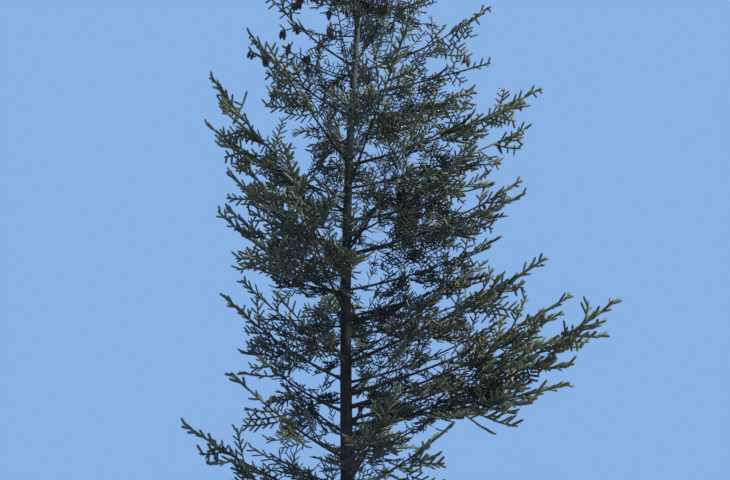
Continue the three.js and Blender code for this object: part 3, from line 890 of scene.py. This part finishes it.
def limbRadius(limb, t, whole):
    base = limbWood["base"] + limbWood["perReach"] * limb["reach"]
    if limb["kind"] != "main":
        base = min(base * limbWood["slimShare"], trunkRadius(limb["height"]) * limbWood["slimMost"])
    middle, middleAt = min(limbWood["midRadius"], base * limbWood["middleShare"]), limbWood["middleAt"]
    tapered = lerp(base, middle, t / middleAt)
    if t >= middleAt:
        tapered = lerp(middle, limbWood["tip"], (t - middleAt) / (1 - middleAt))
    away = (t * whole - limbWood["collarAt"]) / limbWood["collarReach"]
    share = 1 if limb["kind"] == "main" else limbWood["slimCollar"]
    return tapered + limbWood["collar"] * math.exp(-away ** 2) * share


def makeLimbWood(limbs):
    template = tubeTemplate(limbWood["sides"], limbWood["rings"])
    slim = tubeTemplate(limbWood["slimSides"], limbWood["slimRings"])
    tubes = []
    for limb in limbs:
        main = limb["kind"] == "main"
        rings = limbWood["rings" if main else "slimRings"]
        whole = curveLength(limb["curve"])
        shares = [i / (rings - 1) for i in range(rings)]
        points = [curvePoint(limb["curve"], t) for t in shares]
        tangents = [curveTangent(limb["curve"], t) for t in shares]
        radii = [limbRadius(limb, t, whole) for t in shares]
        if main:
            radii = [r + limbWood["knob"] * spreadOf(limb["seed"], i, 31) for i, r in enumerate(radii)]
        tubes.append(drawTube(template if main else slim, points, radii, tangents))
    piece = joinTubes("limbWood", tubes, boughBarkMaterial())
    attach(piece, "root")
    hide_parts(*[f"bough_{i + 1:02d}" for i in range(len(mainBoughs))])
    print("limbs", len(tubes), len(piece.data.polygons), "triangles")


# Thin bark of twigs: matt and dark, browner in places
def twigMaterial():
    material, tree, shader, place = newMaterial("twigBark", 0.85)
    tone = mixColours(tree, noiseValue(tree, place, 12, 3), "#1f1c19", "#352c24")
    tree.links.new(tone, shader.inputs["Base Color"])
    return material


def makeTwigWood(growth):
    template = tubeTemplate(twigWood["sides"], twigWood["rings"])
    tubes = []
    for points, radius, endRadius in growth["wood"]:
        line = points[::2]
        tangents = [(line[min(i + 1, 2)] - line[max(i - 1, 0)]).normalized() for i in range(3)]
        radii = [lerp(radius, endRadius, i / 2) for i in range(3)]
        tubes.append(drawTube(template, line, radii, tangents))
    piece = joinTubes("twigWood", tubes, twigMaterial())
    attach(piece, "root")
    print("twigs", len(tubes), len(piece.data.polygons), "triangles")


# Cones: 14 cm long, hanging from the upper boughs, most of them on the left
cones = {"length": 0.14, "radius": 0.026, "sides": 8, "rings": 11, "scale": 0.16, "lowest": 7.1,
         "highest": 12.0, "leftOf": -0.1, "leftShare": 0.42, "rightShare": 0.05, "mostTogether": 4,
         "apart": 0.05, "tilt": 14, "sizeSpread": 0.12, "stalk": 0.005, "leastGirth": 0.12,
         "footShare": 0.1, "roundness": 0.55}


# Ripe cone scales: thin, woody, dark purplish brown, with paler rims
def coneMaterial():
    material, tree, shader, place = newMaterial("coneScales", 0.7)
    inner = mapValue(tree, cellEdge(tree, place, 85), {"From Max": 0.25})
    tone = mixColours(tree, inner, "#302a2f", "#1c1a20")
    tree.links.new(tone, shader.inputs["Base Color"])
    return material


# One cone that hangs along -Z from its stalk, its scales in rows that take turns
def coneTemplate():
    bm = unitTube(cones["sides"], cones["rings"] - 1)
    for vert in bm.verts:
        share = 0.5 - vert.co.z
        ring = round(share * cones["rings"])
        angle = math.atan2(vert.co.y, vert.co.x)
        column = round(angle / (2 * math.pi) * cones["sides"])
        profile = math.sin(math.pi * min(1, lerp(cones["footShare"], 1, share))) ** cones["roundness"]
        raised = 1 + cones["scale"] * (1 if (ring + column) % 2 else -1)
        vert.co.xy = vert.co.xy.normalized() * cones["radius"] * max(cones["leastGirth"], profile) * raised
        vert.co.z = -cones["stalk"] - share * cones["length"]
    return arraysOf(bm)


# Cones hang in groups from the outer side twigs high in the crown, most of them on the left
def conePlaces(growth):
    places = []
    for points, key in growth["ends"]:
        end = points[4]
        if not cones["lowest"] < end.z < cones["highest"]:
            continue
        share = cones["leftShare" if end.x < cones["leftOf"] else "rightShare"]
        if chance(key, 41, 3) > share:
            continue
        together = 1 + int(chance(key, 42, 3) * cones["mostTogether"])
        for i in range(together):
            back = min(1, i * cones["apart"] / (points[4] - points[3]).length)
            places.append((end.lerp(points[3], back), key + i))
    return places


def makeCones(growth):
    corners, triangles, _ = coneTemplate()
    tubes = []
    for place, key in conePlaces(growth):
        turn = Quaternion(up, 2 * math.pi * chance(key, 43, 1))
        tilt = Quaternion((1, 0, 0), math.radians(cones["tilt"] * spreadOf(key, 44, 1)))
        matrix = np.array((turn @ tilt).to_matrix()) * (1 + cones["sizeSpread"] * spreadOf(key, 45, 1))
        tubes.append((np.array(place) + corners @ matrix.T, triangles))
    piece = joinTubes("cones", tubes, coneMaterial())
    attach(piece, "root")
    print("cones", len(tubes), len(piece.data.polygons), "triangles")


# Needle pieces: limbs in order of height, so many to a piece that it stays under the most triangles set for
# the needles
def makeFoliage(limbs, materials):
    templates = {}
    for size, length in enumerate(needles["sizes"]):
        for variant in range(needles["variants"]):
            templates[size, variant] = shootTemplate(length, 7 * size + variant + 1)
    band, nodes, count, number = [], [], 0, 1
    for limb in sorted(limbs, key=lambda each: each["height"]):
        own = limb["shoots"]
        size = sum(len(templates[sizeOf(shoot[2]), 0][1]) for shoot in own)
        if band and count + size > needles["mostTriangles"]:
            makeNeedles(f"needles_{number}", band, nodes, templates, materials)
            band, nodes, count, number = [], [], 0, number + 1
        band = band + own
        nodes = nodes + ([limb["node"]] if limb["node"] else [])
        count += size
    makeNeedles(f"needles_{number}", band, nodes, templates, materials)


def growTree(limbs):
    growth = {"shoots": [], "wood": [], "ends": []}
    for limb in limbs:
        before = len(growth["shoots"])
        growSides(growth, limb)
        growAlong(growth, limb)
        limb["shoots"] = growth["shoots"][before:]
    print("grown", len(growth["shoots"]), "shoots on", len(growth["wood"]), "twigs and", len(limbs), "limbs")
    return growth


makeCamera()
makeStudio()
limbs = makeLimbs()
growth = growTree(limbs)
makeTrunk(limbs)
makeLimbWood(limbs)
makeTwigWood(growth)
makeCones(growth)
needleMaterials = [needleMaterial(f"{name}Needles", colour) for name, colour in needleTones.items()]
makeFoliage(limbs, needleMaterials)

bpy.context.scene.view_settings.view_transform = "Standard"
bpy.context.view_layer.update()
